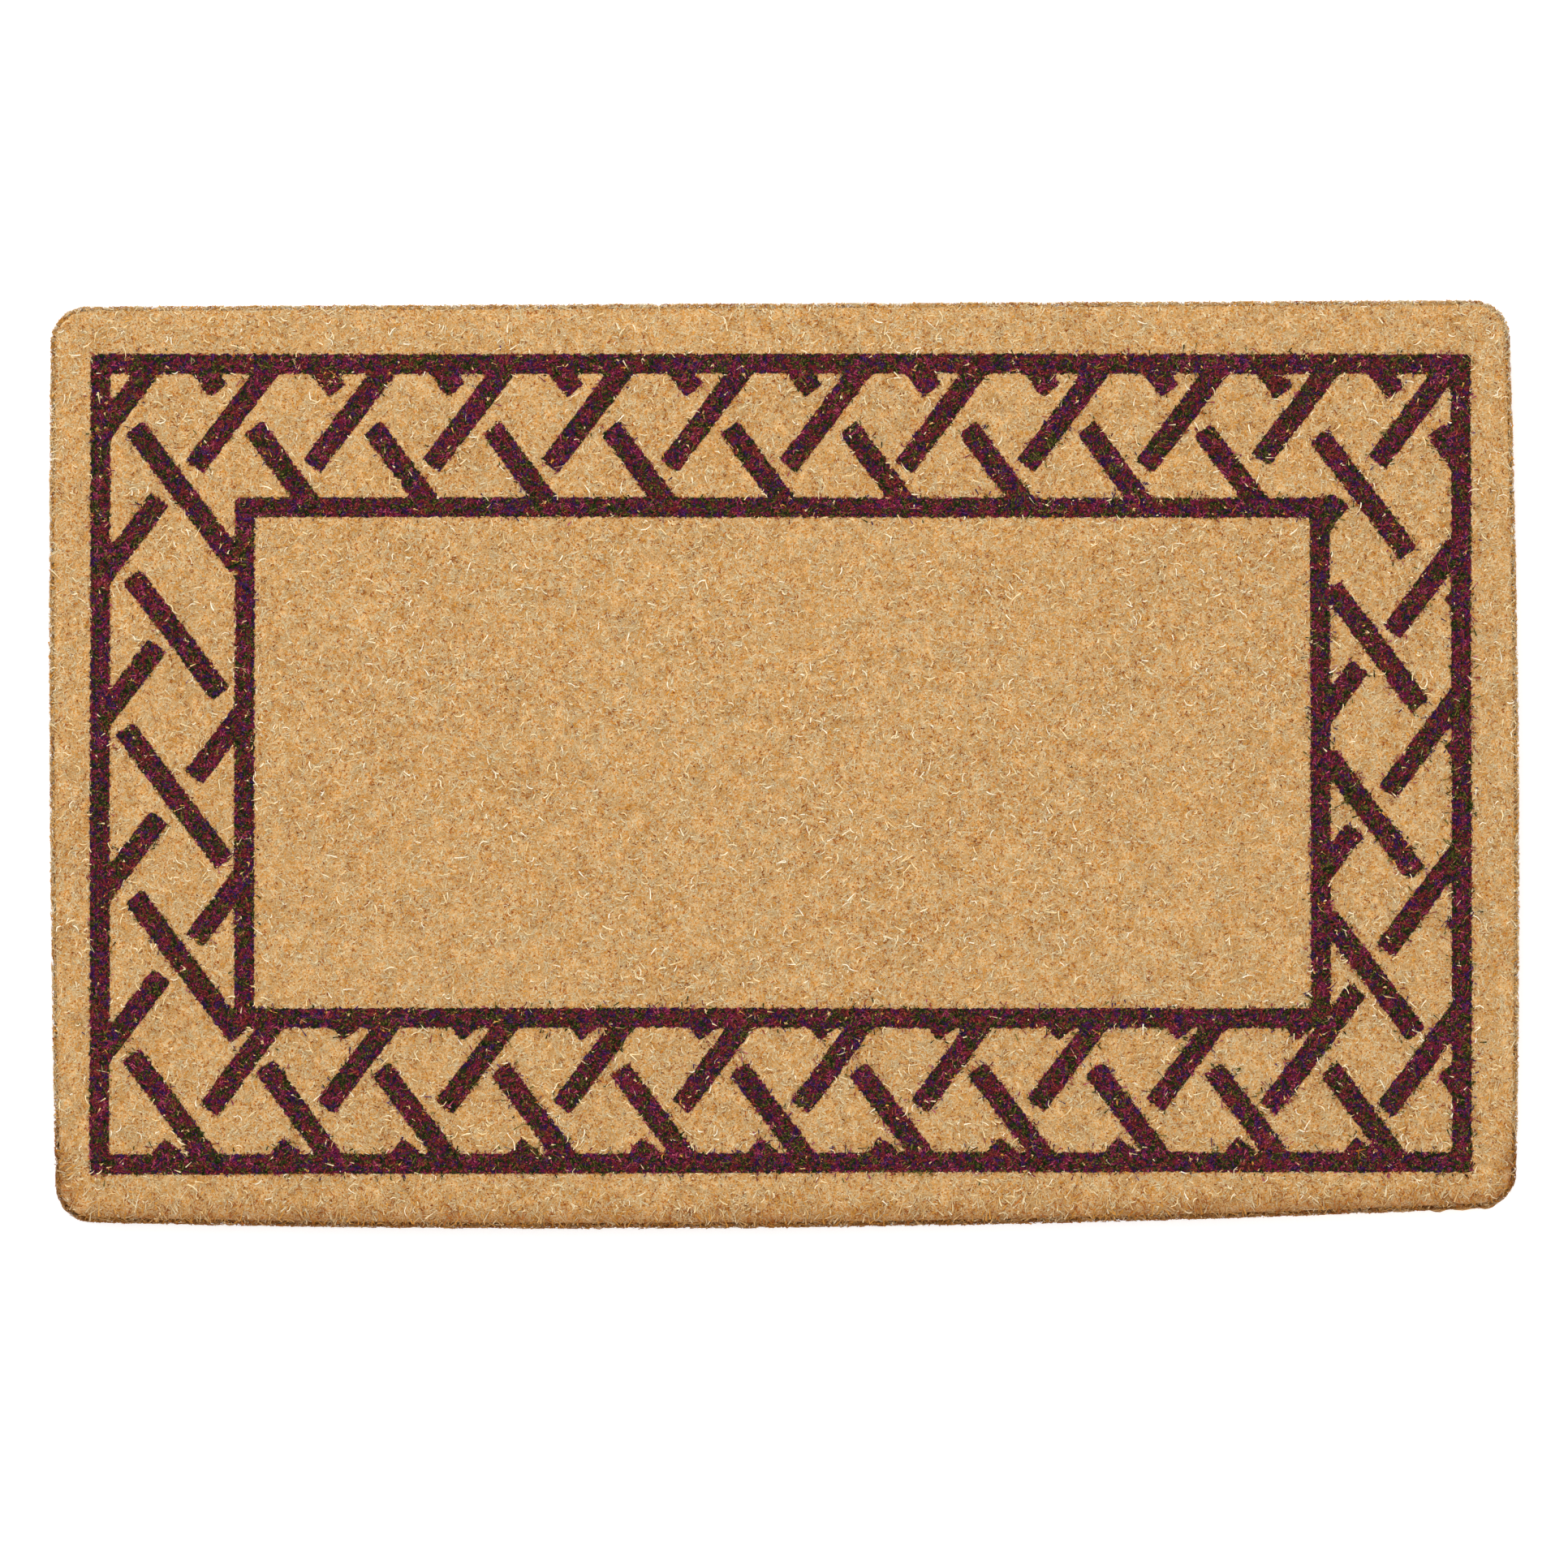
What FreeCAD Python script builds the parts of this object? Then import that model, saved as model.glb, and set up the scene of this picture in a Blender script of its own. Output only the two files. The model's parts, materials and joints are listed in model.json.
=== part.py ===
"""A hand-woven coir door mat with a stencilled trellis border.

Row frame, millimetres: the origin is under the middle of the mat, on the floor; +X runs along the
long side, +Y towards the back edge and +Z up. The mat is a woven backing of chain and weft yarns,
a plaited braid sewn round it, and a brush pile that stands on both. The pile's tufts are modelled
as blocks, one for each undyed or dyed area.
"""

import FreeCAD
import Part
import Sketcher
import os
import re

DIMENSIONS = {
    # The whole mat.
    "mat_length": 914,
    "mat_width": 572,
    "mat_height": 38,
    "corner_radius": 22,
    "shoulder_radius": 6,
    # The woven backing, the braid beside it and the twine that sews the two together.
    "backing_height": 8,
    "braid_width": 24,
    "twine_width": 2,
    "chain_height": 2.6,
    "chain_width": 6,
    "chain_pitch": 12,
    "chain_count": 41,
    "selvedge_width": 8,
    "selvedge_inset": 2,
    "weft_width": 5.6,
    "weft_pitch": 16,
    "weft_count": 53,
    "heading_width": 3.4,
    "heading_pitch": 3.8,
    "heading_count": 3,
    # The stencilled outer line and the stencilled line round the plain centre panel.
    "frame_length": 861,
    "frame_width": 512,
    "frame_line": 12.5,
    "frame_shift_x": -2,
    "frame_shift_y": -3.5,
    "panel_length": 683,
    "panel_width": 332,
    "panel_line": 12.5,
    "panel_shift_x": -1,
    "panel_shift_y": -3.5,
    # The trellis between them: strokes that fall and strokes that rise towards +X.
    "trellis_pitch_x": 74.2,
    "trellis_pitch_y": 98.8,
    "stroke_length": 93,
    "stroke_width": 14,
    "stroke_lean": 53.1,
    "falling_start_x": -405.4,
    "falling_start_y": 206.4,
    "rising_start_x": -367.7,
    "rising_start_y": 181.4,
}

FALLING_COLUMNS = range(0, 12)
FALLING_ROWS = range(-1, 5)
RISING_COLUMNS = range(-1, 11)
RISING_ROWS = range(0, 6)
# How far the hand-cut stencil's strokes are off the trellis, along X and Y: whole rows of them, and
# single ones, as (column, row), at the two ends of the mat.
FALLING_ROW_DRIFT = {-1: (-3, -1.5), 3: (6, -9), 4: (6, -6)}
FALLING_DRIFT = {
    (0, 1): (-1.5, 6), (0, 2): (-6, 9), (0, 3): (0, 3), (0, 4): (-1.5, 3), (1, 4): (7.5, -4.5),
    (8, 4): (4.5, -6), (9, -1): (-6, -3), (9, 0): (-1.5, -1.5), (9, 4): (4.5, -6),
    (10, -1): (-10.5, -3), (10, 0): (-3, -5), (10, 1): (4.5, -1.5), (10, 2): (1.5, -7.5),
    (10, 3): (1.5, -9), (10, 4): (3, -6),
    (11, 0): (-4.5, -1.5), (11, 1): (6, -4.5), (11, 2): (6, 1.5), (11, 4): (1.5, -6),
}
RISING_ROW_DRIFT = {0: (-1, 0.5), 4: (6.5, -5), 5: (5.5, -3)}
RISING_DRIFT = {
    (-1, 0): (4.5, 6), (-1, 1): (-3, 4.5), (-1, 2): (-4.5, 12), (-1, 3): (-3, 3), (-1, 4): (-1.5, 3),
    (0, 0): (0, 0), (0, 2): (0, 3), (0, 4): (9.5, -6.5), (1, 4): (8, -5), (2, 4): (8, -5),
    (6, 0): (-3, 0), (7, 4): (5, -4), (8, 4): (5, -4),
    (9, 0): (-3, 4.5), (9, 1): (-9, 4.5), (9, 2): (3, -1.5), (9, 3): (0, -4.5), (9, 4): (1.5, -6),
    (10, 0): (-4.5, 3), (10, 1): (4.5, -4.5), (10, 2): (1.5, -6), (10, 3): (0, -6),
    (10, 4): (0, -7.5),
}
# The one rising stroke that the stencil leaves out, beside the panel's left line.
RISING_LEFT_OUT = {(0, 1)}
# Falling strokes that are longer, so that they run on into the panel's line or its corner.
FALLING_EXTRA = {(0, 0): 16, (0, 2): 12, (0, 3): 17}

document = FreeCAD.newDocument("coir_door_mat")
sheet = document.addObject("Spreadsheet::Sheet", "dimensions")
for row, (alias, value) in enumerate(DIMENSIONS.items(), start=1):
    sheet.set(f"A{row}", alias)
    sheet.set(f"B{row}", str(value))
    sheet.setAlias(f"B{row}", alias)
document.recompute()

nodes = []


def cells(expression):
    """The expression with every dimension's name pointing at its cell in the sheet."""

    def point(word):
        return f"dimensions.{word[0]}" if word[0] in DIMENSIONS else word[0]

    return re.sub(r"[a-z_]+", point, expression)


def bind(thing, **expressions):
    """Binds properties to expressions. A double underscore stands for a dot."""
    for name, expression in expressions.items():
        thing.setExpression(name.replace("__", "."), cells(expression))


def node(thing, label):
    """Marks an object as a sub-part, which is written out under its label."""
    thing.Label = label
    nodes.append(thing)
    return thing


def block(name, corner, size):
    """A box from its lowest corner and its size, each as three expressions."""
    box = document.addObject("Part::Box", name)
    bind(box, Length=size[0], Width=size[1], Height=size[2])
    bind(box, Placement__Base__x=corner[0])
    bind(box, Placement__Base__y=corner[1])
    bind(box, Placement__Base__z=corner[2])
    return box


def four_bars(name, centre, outer, line, levels):
    """Four bars round a rectangle, as side: box. The back and front ones hold the corners.

    centre and outer are the middle and the outer size along X and Y, line is how wide the bars
    are, and levels are their underside and their height.
    """
    low, tall = levels
    left = f"{centre[0]} - ({outer[0]}) / 2"
    right = f"{centre[0]} + ({outer[0]}) / 2 - {line}"
    front = f"{centre[1]} - ({outer[1]}) / 2"
    back = f"{centre[1]} + ({outer[1]}) / 2 - {line}"
    above_front = f"{front} + {line}"
    short = f"({outer[1]}) - 2 * {line}"
    return {
        "back": block(f"{name}_back", (left, back, low), (outer[0], line, tall)),
        "front": block(f"{name}_front", (left, front, low), (outer[0], line, tall)),
        "left": block(f"{name}_left", (left, above_front, low), (line, short, tall)),
        "right": block(f"{name}_right", (right, above_front, low), (line, short, tall)),
    }


def boolean(kind, name, base, tool):
    """A Part::Cut or Part::Common of two objects."""
    result = document.addObject(f"Part::{kind}", name)
    result.Base = base
    result.Tool = tool
    return result


def origin_feature(body, role):
    return next(f for f in body.Origin.OriginFeatures if f.Role == role)


def rectangle_sketch(body, plane, name, corner, size):
    """A rectangle in a sketch on one of the body's planes, its corner and size as expressions."""
    sketch = body.newObject("Sketcher::SketchObject", name)
    sketch.AttachmentSupport = (origin_feature(body, plane), [""])
    sketch.MapMode = "FlatFace"
    drawn = [FreeCAD.Vector(x, y, 0) for x, y in ((1, 1), (9, 1), (9, 5), (1, 5))]
    for side in range(4):
        sketch.addGeometry(Part.LineSegment(drawn[side], drawn[(side + 1) % 4]), False)
    for side in range(4):
        meets = Sketcher.Constraint("Coincident", side, 2, (side + 1) % 4, 1)
        sketch.addConstraint(meets)
    for side, lie in enumerate(("Horizontal", "Vertical", "Horizontal", "Vertical")):
        sketch.addConstraint(Sketcher.Constraint(lie, side))
    for label, kind, ends, drawn_value, expression in (
        ("across", "DistanceX", (-1, 1, 0, 1), 1, corner[0]),
        ("up", "DistanceY", (-1, 1, 0, 1), 1, corner[1]),
        ("length", "DistanceX", (0, 1, 0, 2), 8, size[0]),
        ("width", "DistanceY", (1, 1, 1, 2), 4, size[1]),
    ):
        number = sketch.addConstraint(Sketcher.Constraint(kind, *ends, drawn_value))
        sketch.renameConstraint(number, label)
        sketch.setExpression(f"Constraints.{label}", cells(expression))
    return sketch


def padded_body(name, plane, corner, size, depth, both_ways=False):
    """A body with one pad of a rectangle."""
    body = document.addObject("PartDesign::Body", name)
    sketch = rectangle_sketch(body, plane, f"{name}_outline", corner, size)
    pad = body.newObject("PartDesign::Pad", f"{name}_pad")
    pad.Profile = sketch
    pad.Midplane = both_ways
    bind(pad, Length=depth)
    document.recompute()
    return body


def rounded(body, name, is_edge, radius):
    """Fillets the edges of the body's last feature for which is_edge is true."""
    base = body.Tip
    edges = [f"Edge{i}" for i, edge in enumerate(base.Shape.Edges, start=1) if is_edge(edge)]
    fillet = body.newObject("PartDesign::Fillet", name)
    fillet.Base = (base, edges)
    bind(fillet, Radius=radius)
    document.recompute()


def repeated(body, name, role, length, count):
    """Repeats the body's last feature along an axis, over a length given as an expression."""
    pattern = body.newObject("PartDesign::LinearPattern", name)
    pattern.Originals = [body.Tip]
    pattern.Direction = (origin_feature(body, role), [""])
    bind(pattern, Length=length, Occurrences=count)
    body.Tip = pattern
    document.recompute()
    return pattern


# The mat's outline, as one rounded block that the pile's margin and the braid are cut from.
SIDES = ("back", "front", "left", "right")
PILE = ("backing_height", "mat_height - backing_height")


def is_along(direction):
    """Whether an edge is straight and runs along a direction."""

    def test(edge):
        return isinstance(edge.Curve, Part.Line) and abs(edge.Curve.Direction * direction) > 0.99

    return test


def is_at_top(edge):
    return min(vertex.Z for vertex in edge.Vertexes) > DIMENSIONS["mat_height"] - 0.01


outline = padded_body("mat_outline", "XY_Plane", ("-mat_length / 2", "-mat_width / 2"),
                      ("mat_length", "mat_width"), "mat_height")
rounded(outline, "corners", is_along(FreeCAD.Vector(0, 0, 1)), "corner_radius")
rounded(outline, "shoulder", is_at_top, "shoulder_radius")

# ---------------------------------------------------------------------------------------------
# The woven backing. The weft passes under and over the chain, which lies flat between its shots,
# and every yarn is pressed flat where it meets another yarn, the floor or the pile.

INNER_LENGTH = "mat_length - 2 * braid_width - 2 * twine_width"
INNER_WIDTH = "mat_width - 2 * braid_width - 2 * twine_width"
HEADING = "((heading_count - 1) * heading_pitch + heading_width)"
CHAIN_LOW = "(backing_height - chain_height) / 2"
CHAIN_HIGH = "(backing_height + chain_height) / 2"
BETWEEN_HEADINGS = f"{INNER_LENGTH} - 2 * {HEADING}"


def yarns(name, corner, size, low_z, height, repeat=None):
    """Yarns as long as the backing or as wide, side by side. repeat is an axis, pitch and count."""
    body = padded_body(name, "XY_Plane", corner, size, height)
    if repeat:
        axis, pitch, count = repeat
        repeated(body, f"{name}_row", axis, f"({count} - 1) * {pitch}", count)
    bind(body, Placement__Base__z=low_z)
    return node(body, name)


def make_chain():
    first = "-((chain_count - 1) * chain_pitch + chain_width) / 2"
    yarns("chain_yarns", (f"-({BETWEEN_HEADINGS}) / 2", first), (BETWEEN_HEADINGS, "chain_width"),
          CHAIN_LOW, "chain_height", ("Y_Axis", "chain_pitch", "chain_count"))
    edge = f"({INNER_WIDTH}) / 2 - selvedge_inset"
    for side, low_y in (("back", f"{edge} - selvedge_width"), ("front", f"-({edge})")):
        yarns(f"selvedge_cord_{side}", (f"-({BETWEEN_HEADINGS}) / 2", low_y),
              (BETWEEN_HEADINGS, "selvedge_width"), CHAIN_LOW, "chain_height")


def make_weft():
    """The upper shots lie half a pitch from the lower ones, so there is one fewer of them."""
    for level, count, low_z in (("lower", "weft_count", "0"),
                                ("upper", "(weft_count - 1)", CHAIN_HIGH)):
        first = f"-(({count} - 1) * weft_pitch + weft_width) / 2"
        yarns(f"weft_yarns_{level}", (first, f"-({INNER_WIDTH}) / 2"), ("weft_width", INNER_WIDTH),
              low_z, CHAIN_LOW, ("X_Axis", "weft_pitch", count))


def make_headings():
    """A few close shots with no tufts end the weaving at each short side."""
    for side, first in (("left", f"-({INNER_LENGTH}) / 2"),
                        ("right", f"({INNER_LENGTH}) / 2 - {HEADING}")):
        yarns(f"heading_{side}", (first, f"-({INNER_WIDTH}) / 2"), ("heading_width", INNER_WIDTH),
              "0", "backing_height", ("X_Axis", "heading_pitch", "heading_count"))


# ---------------------------------------------------------------------------------------------
# The plaited braid round the backing, in one length for each side, and its sewing twine.


def make_braid():
    bars = four_bars("braid_room", ("0", "0"), ("mat_length", "mat_width"), "braid_width",
                     ("0", "backing_height"))
    for side in SIDES:
        node(boolean("Common", f"braid_{side}_cut", outline, bars[side]), f"braid_{side}")


def make_twine():
    outer = (f"{INNER_LENGTH} + 2 * twine_width", f"{INNER_WIDTH} + 2 * twine_width")
    bars = four_bars("twine", ("0", "0"), outer, "twine_width",
                     ("(backing_height - twine_width) / 2", "twine_width"))
    twine = document.addObject("Part::Compound", "twine_group")
    twine.Links = list(bars.values())
    node(twine, "sewing_twine")


# ---------------------------------------------------------------------------------------------
# The pile, area by area. All of it stands on the backing and the braid.

FRAME = ("frame_length", "frame_width")
FRAME_CENTRE = ("frame_shift_x", "frame_shift_y")
PANEL = ("panel_length", "panel_width")
PANEL_CENTRE = ("panel_shift_x", "panel_shift_y")


def edge_of(centre, size, sign, inset="0"):
    """One side's coordinate of a rectangle, moved inwards by inset."""
    return f"{centre} {sign} ({size}) / 2 {'-' if sign == '+' else '+'} {inset}"


def four_strips(name, outer, inner):
    """The space between two rectangles as side: box. Each rectangle is its centre and size.

    The back and front strips hold the corners. Nothing has to be centred on anything.
    """
    (left, front), (right, back) = (
        tuple(edge_of(outer[0][i], outer[1][i], sign) for i in (0, 1)) for sign in "-+")
    (in_left, in_front), (in_right, in_back) = (
        tuple(edge_of(inner[0][i], inner[1][i], sign) for i in (0, 1)) for sign in "-+")
    low, tall = PILE
    whole, short = f"({right}) - ({left})", f"({in_back}) - ({in_front})"
    return {
        "back": block(f"{name}_back", (left, in_back, low),
                      (whole, f"({back}) - ({in_back})", tall)),
        "front": block(f"{name}_front", (left, front, low),
                       (whole, f"({in_front}) - ({front})", tall)),
        "left": block(f"{name}_left", (left, in_front, low),
                      (f"({in_left}) - ({left})", short, tall)),
        "right": block(f"{name}_right", (in_right, in_front, low),
                       (f"({right}) - ({in_right})", short, tall)),
    }


def make_margin():
    """The undyed tufts outside the stencilled outline."""
    room = four_strips("margin_room", (("0", "0"), ("mat_length", "mat_width")),
                       (FRAME_CENTRE, FRAME))
    for side in SIDES:
        node(boolean("Common", f"margin_{side}_cut", outline, room[side]), f"margin_tufts_{side}")


def make_lines():
    """The dyed tufts of the outline and of the line round the panel."""
    for name, centre, outer, line in (("outline", FRAME_CENTRE, FRAME, "frame_line"),
                                      ("panel_line", PANEL_CENTRE, PANEL, "panel_line")):
        for side, bar in four_bars(f"{name}_bar", centre, outer, line, PILE).items():
            node(bar, f"{name}_tufts_{side}")


def make_centre():
    """The undyed tufts of the plain panel."""
    corner = tuple(edge_of(PANEL_CENTRE[i], PANEL[i], "-", "panel_line") for i in (0, 1))
    size = tuple(f"{side} - 2 * panel_line" for side in PANEL)
    node(block("centre", (*corner, PILE[0]), (*size, PILE[1])), "centre_tufts")


def stroke(name, start, shift, lean, extra):
    """One bar of the trellis, from the middle of its end and leaning from the X axis."""
    bar = document.addObject("Part::Box", name)
    bind(bar, Length=f"stroke_length + {extra}", Width="stroke_width", Height=PILE[1])
    bar.Placement = FreeCAD.Placement(FreeCAD.Vector(), FreeCAD.Rotation(0, 0, 0))
    bind(bar, Placement__Rotation__Angle=lean)
    bind(bar, Placement__Base__x=f"{start[0]} + {shift[0]} + stroke_width / 2 * sin({lean})",
         Placement__Base__y=f"{start[1]} + {shift[1]} - stroke_width / 2 * cos({lean})",
         Placement__Base__z=PILE[0])
    return bar


def trellis_strokes():
    """All the strokes, before the two stencilled lines cut them off."""
    strokes = []
    for kind, columns, rows, lean, row_drift, drift, extra, left_out in (
        ("falling", FALLING_COLUMNS, FALLING_ROWS, "-stroke_lean * 1 deg",
         FALLING_ROW_DRIFT, FALLING_DRIFT, FALLING_EXTRA, set()),
        ("rising", RISING_COLUMNS, RISING_ROWS, "stroke_lean * 1 deg",
         RISING_ROW_DRIFT, RISING_DRIFT, {}, RISING_LEFT_OUT),
    ):
        for column in columns:
            for line in rows:
                if (column, line) in left_out:
                    continue
                start = (f"{kind}_start_x + {column} * trellis_pitch_x",
                         f"{kind}_start_y - {line} * trellis_pitch_y")
                shift = drift.get((column, line), row_drift.get(line, (0, 0)))
                name = f"{kind}_{column + 1}_{line + 1}"
                more = extra.get((column, line), 0)
                strokes.append(stroke(name, start, shift, lean, more))
    return strokes


def make_trellis():
    """The dyed tufts of the trellis, and the undyed ones left round its strokes."""
    strokes = document.addObject("Part::Compound", "strokes")
    strokes.Links = trellis_strokes()
    inside = tuple(f"{side} - 2 * frame_line" for side in FRAME)
    room = four_strips("trellis_room", (FRAME_CENTRE, inside), (PANEL_CENTRE, PANEL))
    for side in SIDES:
        node(boolean("Common", f"trellis_{side}_cut", room[side], strokes),
             f"trellis_tufts_{side}")
        node(boolean("Cut", f"ground_{side}_cut", room[side], strokes), f"ground_tufts_{side}")


def check():
    """Stops the script if any object failed or a sub-part isn't sound."""
    for thing in document.Objects:
        if {"Invalid", "Error"} & set(thing.State):
            raise RuntimeError(f"{thing.Label} failed: {thing.State}")
    for thing in nodes:
        shape = thing.Shape
        if shape.isNull() or not shape.isValid() or not shape.Solids:
            raise RuntimeError(f"{thing.Label} isn't a sound solid")


def write():
    """Writes each sub-part to parts, under its label."""
    os.makedirs("parts", exist_ok=True)
    for thing in nodes:
        box = thing.Shape.BoundBox
        print(f"{thing.Label:24s} {len(thing.Shape.Solids):4d} solids "
              f"{box.XLength:7.1f} x {box.YLength:6.1f} x {box.ZLength:5.1f}, "
              f"from z = {box.ZMin:4.1f}")
        thing.Shape.exportStep(os.path.join("parts", f"{thing.Label}.step"))


make_chain()
make_weft()
make_headings()
make_braid()
make_twine()
make_margin()
make_lines()
make_centre()
make_trellis()
document.recompute()
check()
write()
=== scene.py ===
"""A hand-woven coir door mat: a brush pile of single fibres over a woven backing and a plaited braid.

Everything is in metres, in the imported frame: +X along the long side, +Y towards the back, +Z up.
"""

import math
import json

import bpy
import numpy as np
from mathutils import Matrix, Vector


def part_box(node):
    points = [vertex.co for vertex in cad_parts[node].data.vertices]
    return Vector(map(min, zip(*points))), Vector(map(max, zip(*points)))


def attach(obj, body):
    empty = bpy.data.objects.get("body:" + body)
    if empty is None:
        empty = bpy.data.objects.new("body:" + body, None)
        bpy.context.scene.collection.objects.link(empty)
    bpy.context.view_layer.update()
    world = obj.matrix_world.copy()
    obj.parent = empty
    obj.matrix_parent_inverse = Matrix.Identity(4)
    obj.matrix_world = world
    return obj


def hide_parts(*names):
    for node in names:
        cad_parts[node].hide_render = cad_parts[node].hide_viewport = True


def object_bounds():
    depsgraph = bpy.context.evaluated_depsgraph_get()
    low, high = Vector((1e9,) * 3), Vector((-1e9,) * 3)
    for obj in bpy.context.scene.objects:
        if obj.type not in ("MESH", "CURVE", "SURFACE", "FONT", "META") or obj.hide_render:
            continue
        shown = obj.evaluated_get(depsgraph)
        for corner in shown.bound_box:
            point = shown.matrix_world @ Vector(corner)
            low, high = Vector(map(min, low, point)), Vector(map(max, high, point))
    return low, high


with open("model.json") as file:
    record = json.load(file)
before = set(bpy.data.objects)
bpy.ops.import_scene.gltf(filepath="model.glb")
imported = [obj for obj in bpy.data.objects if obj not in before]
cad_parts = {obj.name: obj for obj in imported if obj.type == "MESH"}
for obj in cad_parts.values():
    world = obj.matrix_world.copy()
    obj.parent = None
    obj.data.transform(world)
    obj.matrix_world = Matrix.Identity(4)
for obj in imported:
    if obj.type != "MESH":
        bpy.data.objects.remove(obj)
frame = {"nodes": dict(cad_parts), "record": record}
cad_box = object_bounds()

MM = 0.001
rng = np.random.default_rng(2207)

SLOT_OF = {part["node"]: part["material_slot"] for part in frame["record"]["subparts"]}
DYED_NODES = [name for name, slot in SLOT_OF.items() if slot == "dyed_coir"]
NATURAL_NODES = [name for name, slot in SLOT_OF.items() if slot == "natural_coir"]

# ---------------------------------------------------------------------------------------------
# Sizes, read from the frame, and the outline.

(LEFT, FRONT, FLOOR), (RIGHT, BACK, TOP) = cad_box
HALF_X = (RIGHT - LEFT) / 2
HALF_Y = (BACK - FRONT) / 2
HALVES = np.array([HALF_X, HALF_Y])
PILE_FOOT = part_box("centre_tufts")[0][2]
BRAID_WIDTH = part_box("braid_left")[1][0] - LEFT
CORNER = 22 * MM
CLOSE = 1e-9

# The trimmed edge is a little bowed and out of square, as hand work is: how far each side stands
# off its straight line, how far more it swells at its middle, and how far it leans, in mm.
SIDES = {"back": (-1.2, 0.0, 2.0), "front": (-0.9, 8.5, -4.6),
         "left": (-1.3, 2.4, 2.0), "right": (-2.7, 4.0, -1.7)}


def side_at(name, along):
    """How far a side stands out at a place along it, from -1 to 1."""
    off, swell, lean = SIDES[name]
    return (off + swell * (1 - along**2) + lean * along) * MM


def squared(points):
    """Where points would lie on a mat with straight sides."""
    x, y = points[:, 0], points[:, 1]
    u, v = x / HALF_X, y / HALF_Y
    right = HALF_X + side_at("right", v)
    left = HALF_X + side_at("left", v)
    back = HALF_Y + side_at("back", u)
    front = HALF_Y + side_at("front", u)
    return np.stack([x * HALF_X / np.where(x > 0, right, left),
                     y * HALF_Y / np.where(y > 0, back, front)], axis=1)


def bowed(points):
    """Where points of a mat with straight sides lie on this one: squared() the other way."""
    return 2 * points - squared(points)


def edge_distance(points):
    """How far inside the outline points are, and the direction straight out of it."""
    q = squared(points)
    corner = np.abs(q) - (HALVES - CORNER)
    outside = np.maximum(corner, 0)
    reach = np.linalg.norm(outside, axis=1)
    distance = CORNER - reach - np.minimum(corner.max(axis=1), 0)
    nearest = np.where(corner[:, :1] > corner[:, 1:], [1.0, 0.0], [0.0, 1.0])
    out = np.where(reach[:, None] > CLOSE, outside / np.maximum(reach, CLOSE)[:, None], nearest)
    return distance, out * np.sign(q)


PERIMETER = 4 * (HALF_X + HALF_Y - 2 * CORNER) + 2 * math.pi * CORNER


def around(t, inset, bow=1.0):
    """Places at distances t round the outline, at their insets, and the way straight out. bow is
    how much of the outline's bow they follow."""
    px, py = HALF_X - CORNER, HALF_Y - CORNER
    quarter = math.pi / 2
    lengths = [2 * px, quarter * CORNER, 2 * py, quarter * CORNER] * 2
    starts = np.concatenate([[0], np.cumsum(lengths)])
    corners = np.array([(-px, -py), (px, -py), (px, py), (-px, py)])
    t = t % PERIMETER
    points, outs = np.zeros((len(t), 2)), np.zeros((len(t), 2))
    for stretch in range(8):
        here = (t >= starts[stretch]) & (t <= starts[stretch + 1])
        s = t[here] - starts[stretch]
        side = stretch // 2
        facing = quarter * (side - 1)
        if stretch % 2 == 0:
            way = np.array([-math.sin(facing), math.cos(facing)])
            points[here] = corners[side] + s[:, None] * way
            outs[here] = [math.cos(facing), math.sin(facing)]
        else:
            angle = facing + s / CORNER
            points[here] = corners[(side + 1) % 4]
            outs[here] = np.stack([np.cos(angle), np.sin(angle)], axis=1)
    straight = points + outs * (CORNER - inset[:, None])
    points = bowed(straight)
    distance, out = edge_distance(points)
    points = points + out * (distance - inset)[:, None]
    return straight + bow * (points - straight), out


# ---------------------------------------------------------------------------------------------
# The stencil: the upper faces of the frame's dyed nodes.


def top_triangles(name):
    """The triangles of a node's upper face, seen from above."""
    mesh = frame["nodes"][name].data
    mesh.calc_loop_triangles()
    height = max(v.co.z for v in mesh.vertices) - 0.1 * MM
    return [[mesh.vertices[i].co.xy for i in tri.vertices] for tri in mesh.loop_triangles
            if all(mesh.vertices[i].co.z > height for i in tri.vertices)]


STENCIL = np.array([tri for name in DYED_NODES for tri in top_triangles(name)])


def is_dyed(points):
    """Whether points lie under the stencil's openings."""
    hit = np.zeros(len(points), bool)
    order = np.argsort(points[:, 0])
    xs = points[order, 0]
    for a, b, c in STENCIL:
        low, high = np.searchsorted(xs, [min(a[0], b[0], c[0]), max(a[0], b[0], c[0])])
        near = order[low:high]
        p = points[near]
        sides = [(q[0] - o[0]) * (p[:, 1] - o[1]) - (q[1] - o[1]) * (p[:, 0] - o[0])
                 for o, q in ((a, b), (b, c), (c, a))]
        inside = np.all([s >= 0 for s in sides], axis=0) | np.all([s <= 0 for s in sides], axis=0)
        hit[near[inside]] = True
    return hit


# ---------------------------------------------------------------------------------------------
# Materials.


def linear(srgb):
    """A colour given in sRGB from 0 to 255, as the linear values that sockets take."""
    parts = [c / 255 for c in srgb]
    return (*(c / 12.92 if c <= 0.04045 else ((c + 0.055) / 1.055) ** 2.4 for c in parts), 1)


def ramp(nodes, links, factor, stops):
    """A colour ramp. Stops are (place, sRGB 0 to 255)."""
    node = nodes.new("ShaderNodeValToRGB")
    while len(node.color_ramp.elements) < len(stops):
        node.color_ramp.elements.new(0.5)
    for element, (place, colour) in zip(node.color_ramp.elements, stops):
        element.position = place
        element.color = linear(colour)
    links.new(factor, node.inputs["Fac"])
    return node.outputs["Color"]


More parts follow.
